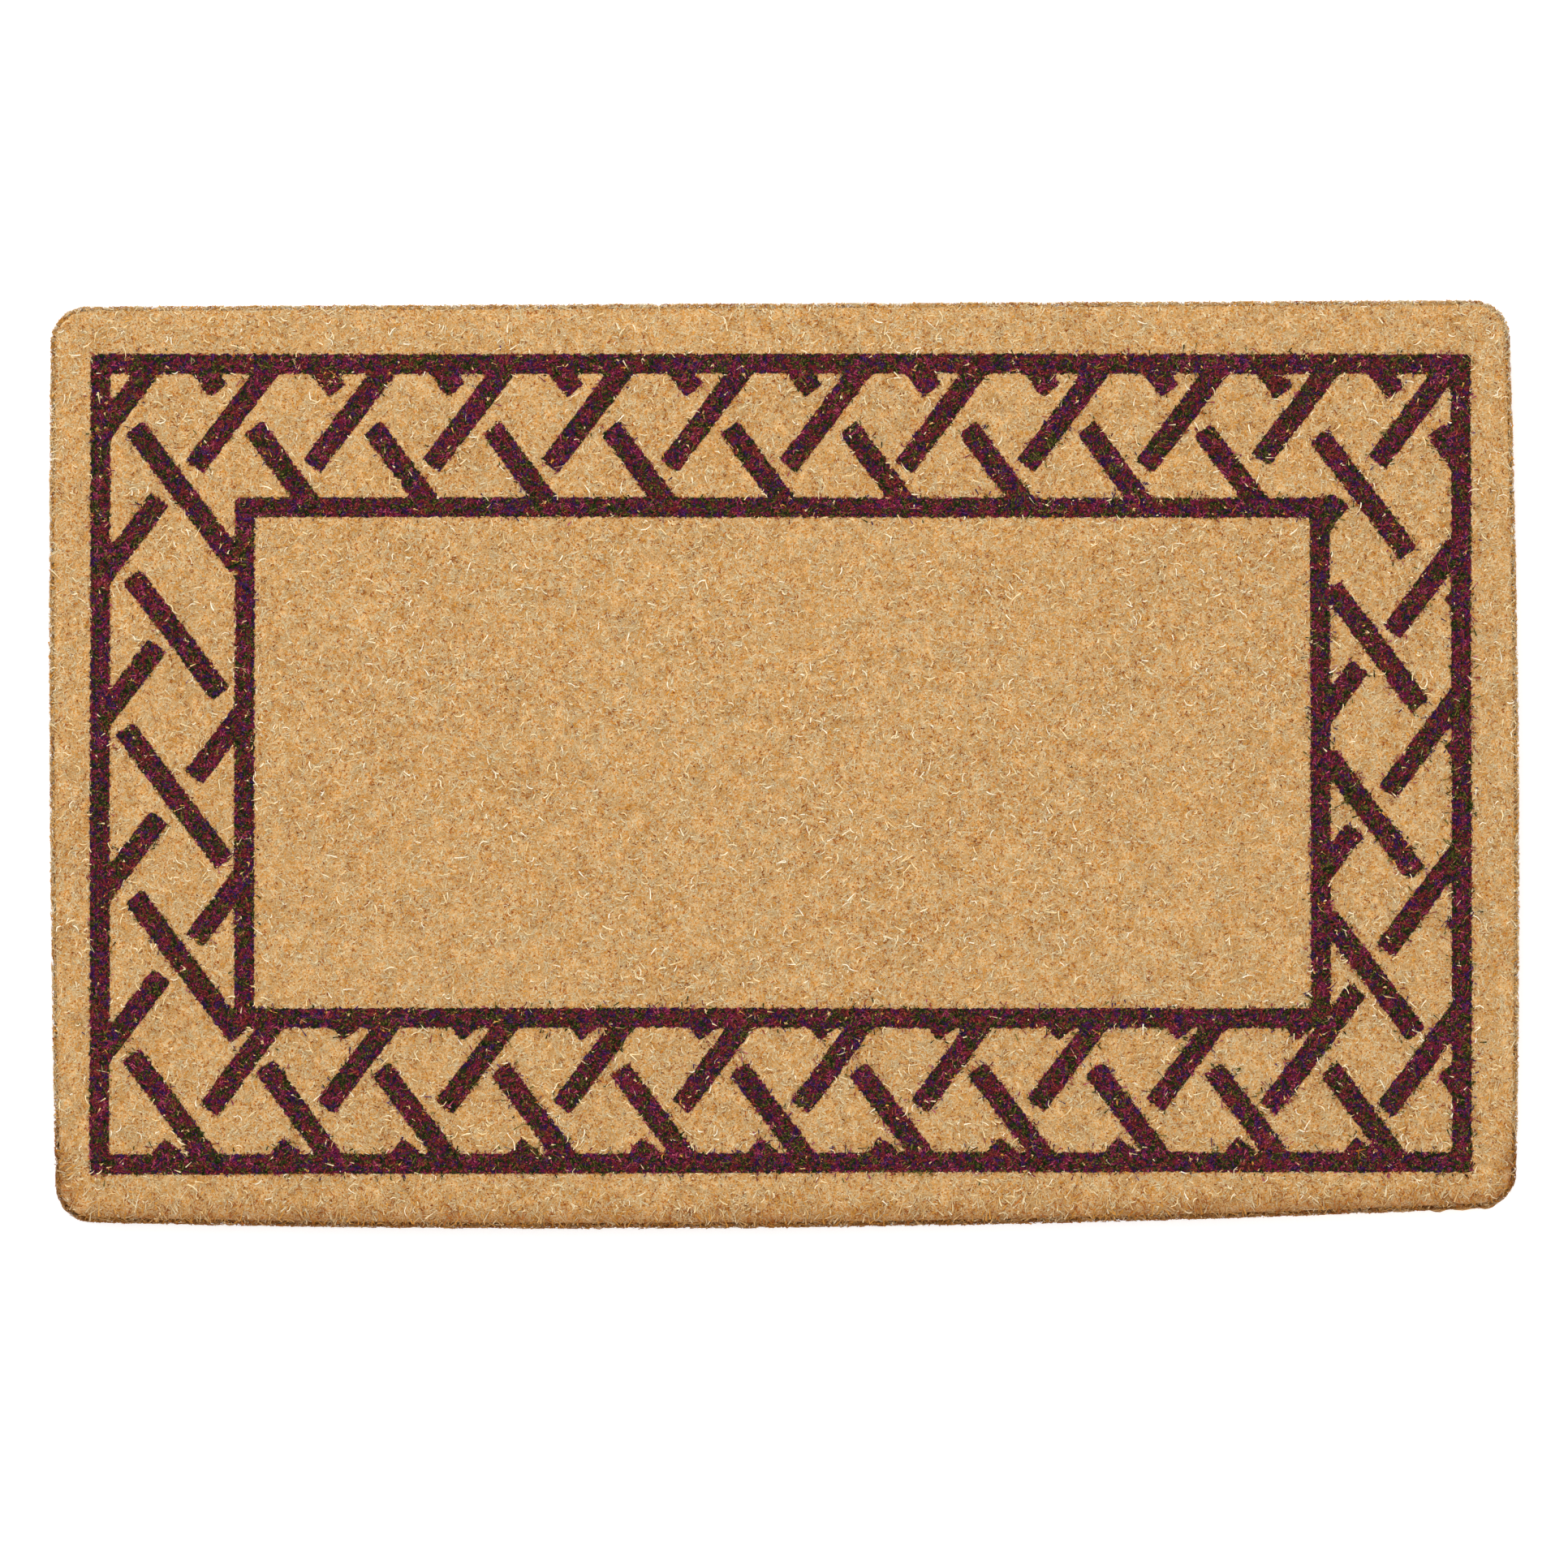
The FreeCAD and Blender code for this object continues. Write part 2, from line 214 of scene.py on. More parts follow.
def mixed(nodes, links, factor, one, two):
    """From one colour to two. Two may also be given in sRGB from 0 to 255."""
    node = nodes.new("ShaderNodeMix")
    node.data_type = "RGBA"
    first, second = [socket for socket in node.inputs if socket.enabled][1:]
    links.new(factor, node.inputs["Factor"])
    links.new(one, first)
    if isinstance(two, tuple):
        second.default_value = linear(two)
    else:
        links.new(two, second)
    return [socket for socket in node.outputs if socket.enabled][0]


def noise(nodes, links, place, scale, detail):
    """A noise texture's value, from 0 to 1."""
    node = nodes.new("ShaderNodeTexNoise")
    node.inputs["Scale"].default_value = scale
    node.inputs["Detail"].default_value = detail
    links.new(place, node.inputs["Vector"])
    return node.outputs["Fac"]


def map_range(nodes, links, value, low, high, to_low=0.0, to_high=1.0):
    """A value between low and high, moved to between two others."""
    node = nodes.new("ShaderNodeMapRange")
    for socket, number in zip(("From Min", "From Max", "To Min", "To Max"), (low, high, to_low, to_high)):
        node.inputs[socket].default_value = number
    links.new(value, node.inputs["Value"])
    return node.outputs["Result"]


def bump(nodes, links, height, depth, strength=1.0):
    """A normal for a surface with a relief of this depth."""
    node = nodes.new("ShaderNodeBump")
    node.inputs["Distance"].default_value = depth
    node.inputs["Strength"].default_value = strength
    links.new(height, node.inputs["Height"])
    return node.outputs["Normal"]


def material(name, roughness, specular):
    """A new material, with its nodes, links, shader, and the place on the object."""
    mat = bpy.data.materials.new(name)
    mat.use_nodes = True
    nodes, links = mat.node_tree.nodes, mat.node_tree.links
    shader = nodes["Principled BSDF"]
    shader.inputs["Roughness"].default_value = roughness
    shader.inputs["Specular IOR Level"].default_value = specular
    place = nodes.new("ShaderNodeNewGeometry")
    return mat, nodes, links, shader, place


def scaled_colour(nodes, links, colour, *factors):
    """A colour times one or more values."""
    for factor in factors:
        node = nodes.new("ShaderNodeVectorMath")
        node.operation = "SCALE"
        links.new(colour, node.inputs[0])
        links.new(factor, node.inputs["Scale"])
        colour = node.outputs[0]
    return colour


def height_shade(nodes, links, place, start, deep, most):
    """How much painted shade a place gets: 0 down to a start below the top of the pile, and from there up
    to most at a deep place.
    """
    split = nodes.new("ShaderNodeSeparateXYZ")
    links.new(place.outputs["Position"], split.inputs[0])
    return map_range(nodes, links, split.outputs["Z"], TOP - start, TOP - deep, 0.0, most)


def fibre_material(name, stops, root, patch, deep=14 * MM):
    """Fibres that each have a tone of their own, darkened towards their roots by painted shade in the
    root colour, in patches that differ by a share either way."""
    mat, nodes, links, shader, place = material(name, 0.7, 0.1)
    own = ramp(nodes, links, place.outputs["Random Per Island"], stops)
    broad = noise(nodes, links, place.outputs["Position"], 25.0, 4.0)
    patches = map_range(nodes, links, broad, 0.3, 0.7, 1 - patch, 1 + patch)
    # Painted shade: deeper in the pile the colour is mixed towards the root colour.
    rooted = height_shade(nodes, links, place, 4 * MM, deep, 0.7)
    colour = mixed(nodes, links, rooted, own, root)
    links.new(scaled_colour(nodes, links, colour, patches), shader.inputs["Base Color"])
    return mat


def fibre_tones(kind, tones, root, patch, **how):
    """The tones of a kind of fibre: each one's name, its share of the fibres, and its material."""
    return [(f"{kind}_{tone}", share, fibre_material(f"{kind}_{tone}_coir", stops, root, patch, **how))
            for tone, (share, stops) in tones.items()]


# Each tone's share of the fibres, and its ramp.
NATURAL = {
    "pale": (0.25, [(0.0, (230, 205, 154)), (1.0, (238, 219, 180))]),
    "golden": (0.37, [(0.0, (220, 176, 114)), (1.0, (226, 188, 130))]),
    "russet": (0.29, [(0.0, (215, 149, 60)), (1.0, (222, 162, 78))]),
    "brown": (0.09, [(0.0, (148, 68, 22)), (1.0, (188, 110, 42))]),
}
# The colour after each set of tones, and after each ramp below, is the painted shade that the fibres take
# on deeper in the pile.
NATURAL_TONES = fibre_tones("natural_tufts", NATURAL, (150, 92, 40), 0.04)
# The wall's fibres take a darker painted shade, and it reaches 24 mm down the wall.
EDGE_TONES = fibre_tones("edge_tufts", NATURAL, (124, 70, 32), 0.05, deep=24 * MM)
DYED_TONES = fibre_tones("dyed_tufts", {
    "olive": (0.42, [(0.0, (4, 22, 0)), (0.5, (36, 54, 8)), (1.0, (122, 110, 48))]),
    "violet": (0.16, [(0.0, (30, 10, 56)), (0.5, (58, 22, 82)), (1.0, (96, 48, 104))]),
    "rose": (0.16, [(0.0, (100, 14, 52)), (0.5, (140, 34, 78)), (1.0, (182, 84, 104))]),
    "maroon": (0.26, [(0.0, (84, 16, 24)), (0.5, (122, 38, 42)), (1.0, (160, 72, 54))]),
}, (40, 16, 16), 0.06)
LOOSE = fibre_material("loose_coir_fibre", [
    (0.0, (236, 206, 148)), (0.6, (246, 226, 180)), (1.0, (255, 246, 222))], (200, 150, 90), 0.04)
PITH = fibre_material("pith_fleck", [
    (0.0, (104, 46, 8)), (0.4, (146, 76, 18)), (1.0, (192, 112, 34))], (90, 44, 20), 0.04)


# ---------------------------------------------------------------------------------------------
# Mesh building.

LARGEST_PIECE = 190_000  # triangles
SOFTNESS = 0.7  # how much of a fibre's normal is the pile's own


def mesh_object(name, verts, tris, mat, normals=None):
    """A smooth mesh of triangles, with its own normal at each vertex where they are given."""
    mesh = bpy.data.meshes.new(name)
    mesh.vertices.add(len(verts))
    mesh.vertices.foreach_set("co", np.ascontiguousarray(verts, np.float32).ravel())
    mesh.loops.add(3 * len(tris))
    mesh.loops.foreach_set("vertex_index", np.ascontiguousarray(tris, np.int32).ravel())
    mesh.polygons.add(len(tris))
    mesh.polygons.foreach_set("loop_start", np.arange(0, 3 * len(tris), 3, dtype=np.int32))
    mesh.polygons.foreach_set("use_smooth", np.full(len(tris), True))
    mesh.materials.append(mat)
    mesh.update(calc_edges=True)
    if normals is not None:
        mesh.normals_split_custom_set_from_vertices(normals)
    obj = bpy.data.objects.new(name, mesh)
    bpy.context.scene.collection.objects.link(obj)
    return obj


def belongs(piece, nodes=()):
    """Every piece is part of the one body. nodes are those that it stands for."""
    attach(piece, "root")
    if nodes:
        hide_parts(*nodes)


def unit(v):
    """Vectors at length 1."""
    return v / np.maximum(np.linalg.norm(v, axis=-1, keepdims=True), 1e-12)


def across(axis):
    """Two directions square to each axis."""
    helper = np.where(np.abs(axis[:, 2:]) < 0.9, [0.0, 0.0, 1.0], [1.0, 0.0, 0.0])
    u = unit(np.cross(axis, helper))
    return u, np.cross(axis, u)


def bristles(paths, radii, facing):
    """Closed three-sided fibres that taper to a point, and their normals. paths is
    (fibre, step, xyz). The normals lean towards the way the pile's surface faces, because
    matted fibre scatters light: single fibres don't show a lit and a dark side."""
    count, steps, _ = paths.shape
    axis = unit(paths[:, -1] - paths[:, 0])
    u, v = across(axis)
    turn = rng.uniform(0, 2 * math.pi, count)
    taper = np.linspace(1.0, 0.0, steps)[:-1] ** 0.5
    corners, ways = [], []
    for k in range(3):
        angle = turn + k * 2 * math.pi / 3
        side = np.cos(angle)[:, None] * u + np.sin(angle)[:, None] * v
        corners.append(paths[:, :-1] + side[:, None] * (radii[:, None] * taper)[..., None])
        ways.append(np.repeat(side[:, None], steps - 1, axis=1))
    rings = np.stack(corners, axis=2).reshape(count, 3 * (steps - 1), 3)
    verts = np.concatenate([rings, paths[:, -1:]], axis=1)
    normals = np.stack(ways, axis=2).reshape(count, 3 * (steps - 1), 3)
    normals = np.concatenate([normals, axis[:, None]], axis=1)
    normals = unit((1 - SOFTNESS) * normals + SOFTNESS * facing[:, None])
    tris = [(0, 2, 1)]
    for ring in range(steps - 2):
        for k in range(3):
            a, b = 3 * ring + k, 3 * ring + (k + 1) % 3
            tris += [(a, b, b + 3), (a, b + 3, a + 3)]
    last = 3 * (steps - 2)
    tris += [(last + k, last + (k + 1) % 3, 3 * (steps - 1)) for k in range(3)]
    tris = np.array(tris)
    per = verts.shape[1]
    faces = tris[None] + (np.arange(count) * per)[:, None, None]
    return verts.reshape(-1, 3), faces.reshape(-1, 3), normals.reshape(-1, 3)


def fibre_pieces(name, paths, radii, mat, nodes, facing=(0, 0, 1)):
    """Splits fibres over as many pieces as the size limit asks for, in strips along X. facing is
    the way the surface faces that they make up, or one way for each fibre."""
    facing = np.broadcast_to(facing, (len(paths), 3))
    order = np.argsort(paths[:, 0, 0], kind="stable")
    tris_each = 4 + 6 * (paths.shape[1] - 2)
    parts = max(1, math.ceil(len(paths) * tris_each / LARGEST_PIECE))
    for number, chosen in enumerate(np.array_split(order, parts), start=1):
        verts, faces, normals = bristles(paths[chosen], radii[chosen], facing[chosen])
        belongs(mesh_object(f"{name}_{number}", verts, faces, mat, normals), nodes)


# ---------------------------------------------------------------------------------------------
# The pile: tufts in rows along Y, one row between each two weft shots.

# Tufts: their places, their fibres, and how far these spread and each tuft leans and rises.
ROW_PITCH = 8 * MM
TUFT_PITCH = 7.6 * MM
PER_TUFT = 80
TUFT_SPREAD = 2.9 * MM
TUFT_LEAN = 0.7 * MM
TUFT_RISE = 0.12 * MM
# Fibres: how far each leans and falls short, how thick it is, and how deep down it starts.
FIBRE_LEAN = 3.2 * MM
FIBRE_DROP = 0.35 * MM
FIBRE_RADII = (0.34 * MM, 0.6 * MM)
PILE_DEPTH = 6 * MM
EDGE_TRIM = 0.6 * MM
# How far the pile's top lies below the CAD's, how high its waves are, and its round shoulder.
TOP_GAP = 1.2 * MM
WAVES = 0.35 * MM
SHOULDER = 13 * MM
SHOULDER_FALL = 3 * MM
# The pits where tufts part: how many, the grid that they are drawn on, their lengths in its
# cells, the cells left free at its rim, and the share of a pit's fibres that are missing.
PITS = 6_000
PIT_CELL = 0.25 * MM
PIT_LENGTHS = (3, 8)
PIT_RIM = 12
PIT_EMPTY = 0.92
# The share of fibres that end blunt, by whether they are dyed, and how far below the rest, in mm.
BLUNT = {False: 0.1, True: 0.4}
BLUNT_DROP = (0.2, 1.2)
# A fibre that leans across the stencil's edge is cut back to a share of its lean. A few dyed
# ones are strays, which reach across and stand proud, and so do the specks that the dye missed.
CUT_BACK = 0.3
STRAY_REACH = 0.85
PROUD = 0.9 * MM
MISSED = 0.014
MISSED_SIZE = 1.1 * MM
RAGGED = 0.16 * MM
# How wide clumps of one tone are, and the share of fibres that don't follow their clump.
NATURAL_CLUMPS = (1.7 * MM, 0.15)
DYED_CLUMPS = (2.8 * MM, 0.04)
EDGE_CLUMPS = (3.0 * MM, 0.3)
# The stiff pale fibres stand a little proud of the rest, and the brown ones lie lowest.
TONE_RISE = {"pale": 0.3 * MM, "golden": 0.05 * MM, "russet": -0.2 * MM, "brown": -0.4 * MM}


def tuft_centres():
    """A tuft in each space of the weave, and beyond the outline as far as a tuft spreads."""
    columns = np.arange(-HALF_X - 2 * ROW_PITCH, HALF_X + 2 * ROW_PITCH, ROW_PITCH)
    rows = np.arange(-HALF_Y - 2 * TUFT_PITCH, HALF_Y + 2 * TUFT_PITCH, TUFT_PITCH)
    x, y = np.meshgrid(columns, rows, indexing="ij")
    y = y + (np.arange(len(columns)) % 2)[:, None] * TUFT_PITCH / 2
    centres = np.stack([x.ravel(), y.ravel()], axis=1)
    centres += rng.normal(0, 1 * MM, centres.shape)
    inside, _ = edge_distance(centres)
    return centres[inside > -2 * TUFT_SPREAD]


def front_band(points):
    """From 0 to 1 over the last 70 mm to 30 mm before the front edge."""
    return np.clip((70 * MM - HALF_Y - points[:, 1]) / (40 * MM), 0, 1)


def front_share(points):
    """From 0 on the mat to 1 at its front edge."""
    distance, _ = edge_distance(points[:, :2])
    return front_band(points) * np.clip(1 - distance / (26 * MM), 0, 1)


def surface_height(points):
    """The trimmed height of the pile: nearly flat, with long shallow waves and a round shoulder,
    which is wider and lower along the front."""
    x, y = points[:, 0], points[:, 1]
    waves = (np.sin(x * 21 + 1.3) * np.sin(y * 27 + 0.4) + 0.6 * np.sin(x * 47 - y * 39)) * WAVES
    distance, _ = edge_distance(points)
    front = front_band(points)
    round_off = np.clip(1 - distance / (SHOULDER * (1 + front)), 0, 1.4) ** 2.2
    fall = round_off * SHOULDER_FALL * (1 + 2.6 * front)
    return TOP - TOP_GAP + waves - fall


def grid_cells(points, size, margin):
    """A grid over the mat and a margin round it: its shape, and the cell of each point."""
    shape = np.array([int(2 * margin * HALF_X / size), int(2 * margin * HALF_Y / size)])
    index = ((points + margin * HALVES) / size).astype(int)
    return shape, tuple(np.clip(index, 0, shape - 1).T)


def in_pit(points):
    """Whether points lie in one of the small pits where the pile's tufts part."""
    (nx, ny), cells = grid_cells(points, PIT_CELL, 1.05)
    pits = np.zeros((nx, ny), bool)
    for _ in range(PITS):
        x, y = rng.integers(PIT_RIM, nx - PIT_RIM), rng.integers(PIT_RIM, ny - PIT_RIM)
        long, angle = rng.uniform(*PIT_LENGTHS), rng.uniform(0, math.pi)
        for step in np.arange(-long / 2, long / 2):
            i, j = int(x + step * math.cos(angle)), int(y + step * math.sin(angle))
            pits[i - 1:i + 2, j - 1:j + 2] = True
    return pits[cells]


def clump_tones(points, shares, clump, alone, painted_front_shade=0.0):
    """A tone for each fibre: mostly the one that its clump has, and a share have one of their own.
    The last argument, from 0, leans the choice towards the last, darker tones, as painted shade
    along the front rim."""
    shape, _ = grid_cells(points, clump, 1.1)
    of_clump = rng.random(shape)
    blurred = points + rng.normal(0, 0.2 * clump, points.shape)
    _, cells = grid_cells(blurred, clump, 1.1)
    value = of_clump[cells]
    value = np.where(rng.random(len(points)) < alone, rng.random(len(points)), value)
    value = 1 - (1 - value) ** (1 + painted_front_shade)
    return np.searchsorted(np.cumsum(shares)[:-1], value)


def bled(points):
    """Where the stencil's edge falls: the dye ran unevenly, about half a millimetre each way."""
    x, y = points[:, 0] / MM, points[:, 1] / MM
    off_x = np.sin(1.7 * y + 2.1 * np.sin(0.6 * x)) + np.sin(0.9 * y - 1.6 * np.sin(1.1 * x) + 1)
    off_y = np.sin(1.8 * x + 1.9 * np.sin(0.7 * y)) + np.sin(0.8 * x - 1.5 * np.sin(y) + 2)
    off_x += 0.8 * np.sin(3.9 * y + 1.5 * np.sin(1.3 * x))
    off_y += 0.8 * np.sin(4.1 * x + 1.5 * np.sin(1.2 * y))
    # Towards the left end of the front line the stencil lay a little askew.
    askew = 1.6 * np.clip((-200 - y) / 60, 0, 1) * np.clip((100 - x) / 500, 0, 1)
    return points + MM * np.stack([0.36 * off_x, 0.36 * off_y + askew], axis=1)


def toned_pieces(tones, paths, radii, nodes, clumps, painted_front_shade=0.0, blunt=None,
                 facing=(0, 0, 1)):
    """Fibres in pieces by tone. The blunt ones have their thick end, sheared flat, on top."""
    shares = [share for _, share, _ in tones]
    which = clump_tones(paths[:, -1, :2], shares, *clumps, painted_front_shade)
    if blunt is not None:
        paths = np.where(blunt[:, None, None], paths[:, ::-1], paths)
    facing = np.broadcast_to(facing, (len(paths), 3))
    for number, (name, _, mat) in enumerate(tones):
        chosen = which == number
        rise = (0, 0, TONE_RISE.get(name.split("_")[-1], 0))
        fibre_pieces(name, paths[chosen] + rise, radii[chosen], mat, nodes, facing[chosen])


def make_pile():
    """The fibres that make up the pile's top, each from its tuft's place in the weave."""
    centres = tuft_centres()
    count = len(centres)
    lean = rng.normal(0, TUFT_LEAN, (count, 2))
    high = rng.normal(0, TUFT_RISE, count)
    which = np.repeat(np.arange(count), PER_TUFT)
    total = len(which)
    own = rng.normal(0, TUFT_SPREAD, (total, 2))
    roots = centres[which] + own
    tips = roots + lean[which] + rng.normal(0, FIBRE_LEAN, (total, 2))

    # The outermost tufts splay outwards, and all are trimmed at the edge.
    distance, out = edge_distance(roots)
    push = np.clip(1 - distance / SHOULDER, 0, 1.2)[:, None]
    tips += out * push * rng.uniform(0.0, 3.0, (total, 1)) * MM
    past, out = edge_distance(tips)
    tips += out * np.minimum(past - EDGE_TRIM * rng.random(total), 0)[:, None]
    height = surface_height(tips) + high[which] - np.abs(rng.normal(0, FIBRE_DROP, total))

    # Strays are commonest towards the front right corner.
    crossing = is_dyed(roots) != is_dyed(tips)
    corner = np.clip(0.4 + roots[:, 0] / HALF_X / 2 - roots[:, 1] / HALF_Y / 2, 0, 1)
    stray = crossing & is_dyed(roots) & (rng.random(total) < 0.05 + 0.2 * corner)
    kept = np.where(stray, STRAY_REACH, CUT_BACK)[:, None]
    tips = np.where(crossing[:, None], roots + kept * (tips - roots), tips)
    blunt = rng.random(total) < np.where(is_dyed(tips), BLUNT[True], BLUNT[False])
    height -= np.where(blunt, rng.uniform(*BLUNT_DROP, total), 0) * MM

    depth = PILE_DEPTH * rng.uniform(0.5, 1.1, total)
    paths = np.stack([np.column_stack([roots, height - depth]), np.column_stack([tips, height])],
                     axis=1)
    radii = rng.uniform(*FIBRE_RADII, total)
    in_a_pit = in_pit(tips) | in_pit((roots + tips) / 2)
    keep = (distance > EDGE_TRIM) & ~(in_a_pit & (rng.random(total) < PIT_EMPTY))
    paths, radii, blunt, stray = paths[keep], radii[keep], blunt[keep], stray[keep]

    # A stray has the colour of its root, and the others that of a place near their tip.
    rooted = np.where(stray, 1.0, 0.1)[:, None]
    where = (1 - rooted) * paths[:, 1, :2] + rooted * paths[:, 0, :2]
    paths[stray, 1, 2] += PROUD
    blunt = blunt | stray
    ragged = rng.normal(0, RAGGED, where.shape)
    dyed = is_dyed(bled(where) + ragged)
    missed = dyed & (clump_tones(where, [MISSED, 1 - MISSED], MISSED_SIZE, 0.0) == 0)
    paths[missed, 1, 2] += PROUD
    dyed = dyed & ~missed
    # Near the front edge the natural fibres lean to the darker brown tones: painted shade where the front
    # rolls down.
    toned_pieces(NATURAL_TONES, paths[~dyed], radii[~dyed], NATURAL_NODES,
                 NATURAL_CLUMPS, front_share(paths[~dyed, 1]), blunt[~dyed])
    toned_pieces(DYED_TONES, paths[dyed], radii[dyed], DYED_NODES,
                 DYED_CLUMPS, 0.0, blunt[dyed])


# The mat's sides draw in towards the foot: by a share of the height along the front, and by twice
# that along the rest. Insets, height and radii are in mm.
WALL_FIBRES = 56_000
WALL_TAPER = 0.14
WALL_INSETS = (2.5, 10)
WALL_HEIGHT = 24
WALL_RADII = (0.22, 0.42)


def make_wall():
    """The fibres of the outermost tufts, which stand on the braid and splay outwards."""
    count = WALL_FIBRES
    inset = rng.uniform(*WALL_INSETS, count) * MM
    roots, out = around(rng.random(count) * PERIMETER, inset)
    along = np.stack([-out[:, 1], out[:, 0]], axis=1)
    lowered = np.where(rng.random(count) < 0.6, np.abs(rng.normal(0, 1.2, count)),
                       rng.random(count) ** 1.5 * WALL_HEIGHT) * MM
    taper = WALL_TAPER * (2 - front_share(roots))
    gap = EDGE_TRIM * rng.random(count) + np.abs(rng.normal(0, 0.7, count)) * MM + taper * lowered
    gap += np.where(rng.random(count) < 0.4, rng.uniform(0, 4, count), 0) * MM
    reach = inset - gap
    sway = rng.normal(0, 2.6, count) * MM
    tips = roots + out * reach[:, None] + along * sway[:, None]
    tip_z = surface_height(tips) - lowered
    foot = PILE_FOOT - rng.uniform(0.5, 3, count) * MM
    middle = (roots + out * (reach * rng.uniform(0.25, 0.8, count))[:, None]
              + along * (sway * rng.uniform(0, 0.6, count) + rng.normal(0, 0.8, count) * MM)[:, None])
    paths = np.stack([
        np.column_stack([roots, foot]),
        np.column_stack([middle, foot + (tip_z - foot) * 0.5]),
        np.column_stack([tips, tip_z])], axis=1)
    radii = rng.uniform(*WALL_RADII, count) * MM
    # Along the front the wall's fibres lean to the darker brown tones: painted shade on the front wall.
    painted_front_shade = 2.0 * front_share(paths[:, -1])
    facing = np.column_stack([0.8 * out, np.full(count, 0.6)])
    toned_pieces(EDGE_TONES, paths, radii, [], EDGE_CLUMPS, painted_front_shade, None, facing)


def make_lying(name, count, lengths, radii, mat):
    """Bits of fibre that lie on the undyed pile, in loose crowds."""
    spots = np.stack([rng.uniform(-HALF_X, HALF_X, count),
                      rng.uniform(-HALF_Y, HALF_Y, count)], axis=1)
    distance, _ = edge_distance(spots)
    x, y = spots[:, 0], spots[:, 1]
    crowd = np.sin(x * 41 + 1.9 * np.sin(y * 33)) * np.sin(y * 52 + 1.6 * np.sin(x * 29 + 2))
    thick = rng.random(count) < 0.55 + 0.45 * crowd
    spots = spots[thick & (distance > 4 * MM) & ~is_dyed(spots)]
    count = len(spots)
    length = rng.uniform(*lengths, count) * rng.uniform(0.4, 1, count)
    heading = rng.uniform(0, 2 * math.pi, count)
    bend = rng.normal(0, 0.9, count)
    steps = np.linspace(-0.5, 0.5, 4)
    angle = heading[:, None] + bend[:, None] * steps
    offset = np.stack([np.cos(angle), np.sin(angle)], axis=2) * steps[None, :, None]
    flat = spots[:, None] + offset * length[:, None, None]
    rise = rng.uniform(-0.5, 0.8, count)[:, None] * MM * steps
    z = surface_height(spots)[:, None] + rise + 0.7 * MM
    paths = np.concatenate([flat, z[..., None]], axis=2)
    fibre_pieces(name, paths, rng.uniform(*radii, count), mat, [])


# ---------------------------------------------------------------------------------------------
# The core: the matted lower pile, seen between the fibres of the top.


def packed_material(name):
    """Matted fibre, natural and, where the mesh's dye attribute says so, dyed. The natural colour is
    mixed towards brown lower down, as painted shade.
    """
    mat, nodes, links, shader, place = material(name, 0.9, 0.1)
    fine = noise(nodes, links, place.outputs["Position"], 880.0, 2.0)
    blots = noise(nodes, links, place.outputs["Position"], 460.0, 1.5)
    natural = ramp(nodes, links, fine, [
        (0.31, (140, 66, 26)), (0.37, (216, 146, 66)), (0.5, (225, 182, 120)),
        (0.66, (234, 206, 164))])
    dyed = ramp(nodes, links, blots, [
        (0.34, (4, 30, 2)), (0.43, (52, 52, 14)), (0.5, (38, 12, 60)), (0.57, (116, 20, 56)),
        (0.66, (114, 38, 32))])
    dye = nodes.new("ShaderNodeAttribute")
    dye.attribute_name = "dye"
    sharp = map_range(nodes, links, dye.outputs["Fac"], 0.42, 0.58)
    # Painted shade: the natural colour goes brown lower down, on the shoulder's fall and under the weave.
    rooted = height_shade(nodes, links, place, 5 * MM, 15 * MM, 0.85)
    natural = mixed(nodes, links, rooted, natural, (150, 84, 38))
    links.new(mixed(nodes, links, sharp, natural, dyed), shader.inputs["Base Color"])
    links.new(bump(nodes, links, fine, 1.0 * MM), shader.inputs["Normal"])
    return mat


def dye_share(points, reach):
    """How much of the ground within a reach of each point is dyed, from 0 to 1."""
    offsets = [(a, b) for a in (-reach, 0, reach) for b in (-reach, 0, reach)]
    return np.mean([is_dyed(bled(points + offset)) for offset in offsets], axis=0)


def rim_wall(nx, ny, under):
    """The rim of a grid of nx by ny points, and the wall from it down to the points that have
    under added to their numbers."""
    rim = np.concatenate([np.arange(0, nx) * ny, (nx - 1) * ny + np.arange(1, ny),
                          np.arange(nx - 2, -1, -1) * ny + ny - 1, np.arange(ny - 2, 0, -1)])
    after = np.roll(rim, -1)
    wall = np.concatenate([np.stack([rim, rim + under, after + under], axis=1),
                           np.stack([rim, after + under, after], axis=1)])
    return rim, wall


def grid_triangles(nx, ny):
    """The triangles of a grid of nx by ny points, which face up."""
    i, j = np.meshgrid(np.arange(nx - 1), np.arange(ny - 1), indexing="ij")
    a = (i * ny + j).ravel()
    return np.concatenate([np.stack([a, a + ny, a + ny + 1], axis=1),
                           np.stack([a, a + ny + 1, a + 1], axis=1)])


CORE_STEP = 2.5 * MM
CORE_DEPTH = 2.4 * MM
CORE_INSET = 3.5 * MM
CORE_BUMPS = 0.18 * MM
DYE_DEPTH = 14 * MM


